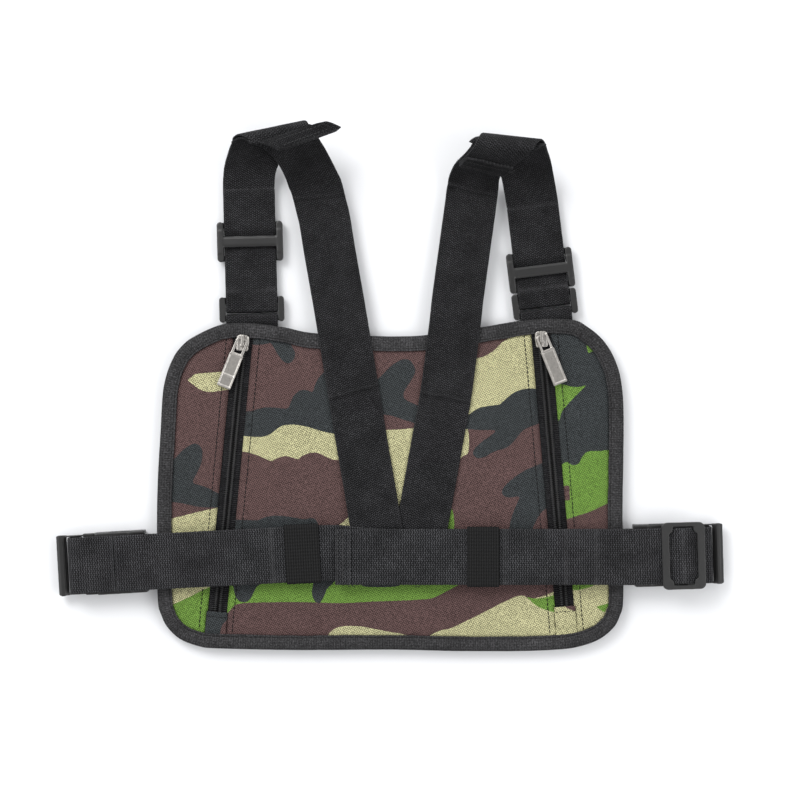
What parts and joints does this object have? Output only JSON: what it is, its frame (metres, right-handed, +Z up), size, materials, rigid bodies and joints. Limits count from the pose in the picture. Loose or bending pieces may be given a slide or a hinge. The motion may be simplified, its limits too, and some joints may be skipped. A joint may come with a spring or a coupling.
{
  "type": "chest harness pack",
  "caption": "Flat camouflage chest pad with zipped front pockets, adjustable webbing shoulder straps and a buckled webbing belt, laid out flat.",
  "frame": {"origin": "centre of the bounding box in plan, on the surface the pad lies on", "axes": "+X along the belt to the right buckle, +Y toward the shoulder straps, +Z up out of the front of the pad"},
  "size_m": [0.4647, 0.3654, 0.0553],
  "materials": {
    "camo_oxford": "woodland camouflage oxford cloth in brown, tan, green and slate",
    "lining_cloth": "plain black lining cloth",
    "foam": "grey sheet foam",
    "binding_tape": "matt black grosgrain binding",
    "black_webbing": "black woven webbing",
    "elastic": "smooth black knitted elastic",
    "zip_tape": "black woven zip tape",
    "zip_coil": "black nylon coil",
    "nickel": "nickel plate",
    "black_acetal": "black moulded acetal, lightly textured"
  },
  "bodies": {
    "harness": {"front_panel_left": "camo_oxford", "front_panel_centre": "camo_oxford", "front_panel_right": "camo_oxford", "zip_end_patch_left": "camo_oxford", "zip_end_patch_right": "camo_oxford", "back_panel": "lining_cloth", "pocket_lining": "lining_cloth", "foam_pad": "foam", "edge_binding": "binding_tape", "zip_tape_left_inner": "zip_tape", "zip_tape_left_outer": "zip_tape", "zip_tape_right_inner": "zip_tape", "zip_tape_right_outer": "zip_tape", "zip_coil_left_inner": "zip_coil", "zip_coil_left_outer": "zip_coil", "zip_coil_right_inner": "zip_coil", "zip_coil_right_outer": "zip_coil", "shoulder_tab_left": "black_webbing", "shoulder_tab_right": "black_webbing", "side_tab_left": "black_webbing", "side_tab_right": "black_webbing", "shoulder_loop_left": "black_webbing", "shoulder_loop_right": "black_webbing", "shoulder_main_left": "black_webbing", "shoulder_main_right": "black_webbing", "shoulder_tail_left": "black_webbing", "shoulder_tail_right": "black_webbing", "belt_main": "black_webbing", "belt_tail": "black_webbing", "buckle_female_left": "black_acetal", "buckle_female_right": "black_acetal"},
    "zip_slider_left": {"zip_slider_left": "nickel"},
    "zip_slider_right": {"zip_slider_right": "nickel"},
    "zip_pull_left": {"zip_pull_left": "nickel"},
    "zip_pull_right": {"zip_pull_right": "nickel"},
    "strap_ring_left": {"strap_ring_left": "black_acetal"},
    "strap_ring_right": {"strap_ring_right": "black_acetal"},
    "shoulder_adjuster_left": {"shoulder_adjuster_left": "black_acetal"},
    "shoulder_adjuster_right": {"shoulder_adjuster_right": "black_acetal"},
    "keeper_left": {"keeper_left": "elastic"},
    "keeper_right": {"keeper_right": "elastic"},
    "buckle_male_left": {"buckle_male_left": "black_acetal", "belt_loop_left": "black_webbing"},
    "buckle_male_right": {"buckle_male_right": "black_acetal", "belt_end_right": "black_webbing"},
    "belt_adjuster": {"belt_adjuster": "black_acetal"},
    "buckle_prong_left_front": {"buckle_prong_left_front": "black_acetal"},
    "buckle_prong_left_rear": {"buckle_prong_left_rear": "black_acetal"},
    "buckle_prong_right_front": {"buckle_prong_right_front": "black_acetal"},
    "buckle_prong_right_rear": {"buckle_prong_right_rear": "black_acetal"}
  },
  "joints": [
    {"name": "zip_left_slide", "type": "slide", "parent": "harness", "child": "zip_slider_left", "axis": [0.0943, 0.9955, 0], "range_m": [-0.179, 0]},
    {"name": "zip_right_slide", "type": "slide", "parent": "harness", "child": "zip_slider_right", "axis": [-0.0864, 0.9963, 0], "range_m": [-0.179, 0]},
    {"name": "zip_pull_left_swing", "type": "hinge", "parent": "zip_slider_left", "child": "zip_pull_left", "pos_m": [-0.1017, 0.034, 0.0123], "axis": [-0.9272, 0.3746, 0], "range_deg": [0, 165]},
    {"name": "zip_pull_right_swing", "type": "hinge", "parent": "zip_slider_right", "child": "zip_pull_right", "pos_m": [0.1054, 0.0366, 0.0123], "axis": [-0.9272, -0.3746, 0], "range_deg": [0, 165]},
    {"name": "strap_ring_left_tilt", "type": "hinge", "parent": "harness", "child": "strap_ring_left", "pos_m": [-0.0958, 0.0482, 0.0054], "axis": [0.9997, 0.0262, 0], "range_deg": [0, 20], "deforming": ["shoulder_loop_left"]},
    {"name": "strap_ring_right_tilt", "type": "hinge", "parent": "harness", "child": "strap_ring_right", "pos_m": [0.1091, 0.052, 0.0054], "axis": [0.9925, 0.1219, 0], "range_deg": [0, 20], "deforming": ["shoulder_loop_right"]},
    {"name": "shoulder_adjuster_left_slide", "type": "slide", "parent": "harness", "child": "shoulder_adjuster_left", "axis": [-0.0262, 0.9997, 0], "range_m": [-0.02, 0.022], "deforming": ["shoulder_loop_left"]},
    {"name": "shoulder_adjuster_right_slide", "type": "slide", "parent": "harness", "child": "shoulder_adjuster_right", "axis": [-0.1219, 0.9925, 0], "range_m": [0, 0.03], "deforming": ["shoulder_loop_right"]},
    {"name": "buckle_left_release", "type": "slide", "parent": "harness", "child": "buckle_male_left", "axis": [-0.9983, -0.0576, 0], "range_m": [0, 0.028], "deforming": ["buckle_prong_left_front", "buckle_prong_left_rear"]},
    {"name": "buckle_right_release", "type": "slide", "parent": "harness", "child": "buckle_male_right", "axis": [0.9996, 0.0279, 0], "range_m": [0, 0.028], "deforming": ["buckle_prong_right_front", "buckle_prong_right_rear"]},
    {"name": "buckle_prong_left_front_bend", "type": "hinge", "parent": "buckle_male_left", "child": "buckle_prong_left_front", "pos_m": [-0.20567, -0.13706, 0.0068], "axis": [0, 0, 1], "range_deg": [0, 8], "stiffness_Nm_per_rad": 0.5},
    {"name": "buckle_prong_left_rear_bend", "type": "hinge", "parent": "buckle_male_left", "child": "buckle_prong_left_rear", "pos_m": [-0.2074, -0.10711, 0.0068], "axis": [0, 0, -1], "range_deg": [0, 8], "stiffness_Nm_per_rad": 0.5},
    {"name": "buckle_prong_right_front_bend", "type": "hinge", "parent": "buckle_male_right", "child": "buckle_prong_right_front", "pos_m": [0.20747, -0.10035, 0.0068], "axis": [0, 0, 1], "range_deg": [0, 8], "stiffness_Nm_per_rad": 0.5},
    {"name": "buckle_prong_right_rear_bend", "type": "hinge", "parent": "buckle_male_right", "child": "buckle_prong_right_rear", "pos_m": [0.2083, -0.13033, 0.0068], "axis": [0, 0, -1], "range_deg": [0, 8], "stiffness_Nm_per_rad": 0.5},
    {"name": "belt_adjuster_slide", "type": "slide", "parent": "buckle_male_right", "child": "belt_adjuster", "axis": [0.9996, 0.0279, 0], "range_m": [-0.05, 0], "deforming": ["belt_end_right"]},
    {"name": "keeper_left_slide", "type": "slide", "parent": "harness", "child": "keeper_left", "axis": [0.9987, 0.0518, 0], "range_m": [-0.085, 0.004]},
    {"name": "keeper_right_slide", "type": "slide", "parent": "harness", "child": "keeper_right", "axis": [1, 0, 0], "range_m": [-0.014, 0.04]}
  ],
  "couplings": [
    {"joint": "buckle_prong_left_rear_bend", "follows": "buckle_prong_left_front_bend", "ratio": 1},
    {"joint": "buckle_prong_right_rear_bend", "follows": "buckle_prong_right_front_bend", "ratio": 1}
  ]
}
